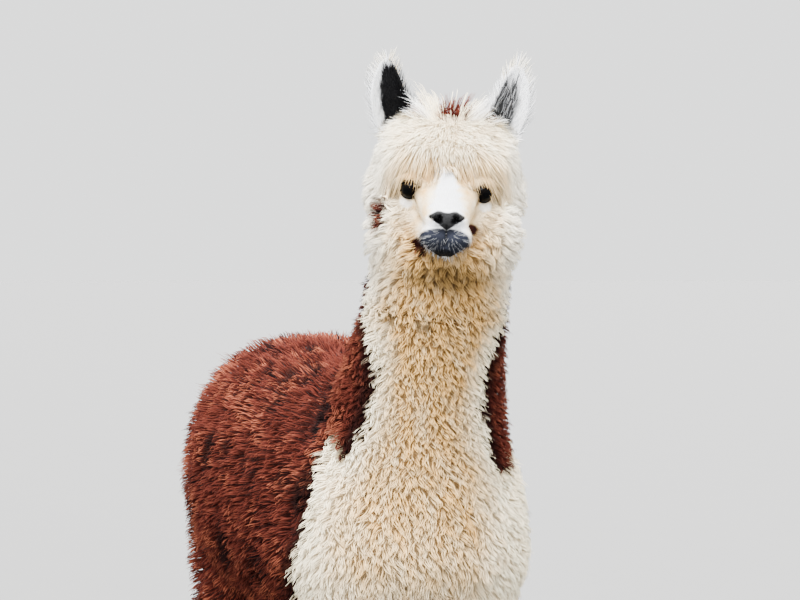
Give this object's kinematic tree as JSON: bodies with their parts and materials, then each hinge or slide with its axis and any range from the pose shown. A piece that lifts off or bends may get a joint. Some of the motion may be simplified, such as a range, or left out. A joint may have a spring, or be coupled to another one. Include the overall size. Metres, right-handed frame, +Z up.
{
  "type": "standing alpaca figure",
  "caption": "Life-size still figure of a standing huacaya alpaca in full fleece, head turned to its right and ears up, resting on its own feet.",
  "frame": {"origin": "centre of the bounding box on the floor, under the middle of the standing animal", "axes": "+Z up, the animal faces -Y and its own left side is at +X"},
  "size_m": [0.5294, 1.1668, 1.4909],
  "materials": {
    "cream_fleece": "crimped cream wool, matte",
    "chestnut_fleece": "soft chestnut wool, matte",
    "eye": "wet black, glossy",
    "nail": "dull dark horn"
  },
  "bodies": {
    "root": {"trunk": "chestnut_fleece", "neck": "cream_fleece", "head": "cream_fleece", "tail": "chestnut_fleece", "foreleg_left": "cream_fleece", "forefoot_left": "cream_fleece", "nail_fore_left_outer": "nail", "nail_fore_left_inner": "nail", "foreleg_right": "cream_fleece", "forefoot_right": "cream_fleece", "nail_fore_right_outer": "nail", "nail_fore_right_inner": "nail", "hindleg_left": "chestnut_fleece", "hindfoot_left": "cream_fleece", "nail_hind_left_outer": "nail", "nail_hind_left_inner": "nail", "hindleg_right": "chestnut_fleece", "hindfoot_right": "cream_fleece", "nail_hind_right_outer": "nail", "nail_hind_right_inner": "nail", "eye_left": "eye", "ear_left": "cream_fleece", "eye_right": "eye", "ear_right": "cream_fleece"}
  },
  "joints": []
}
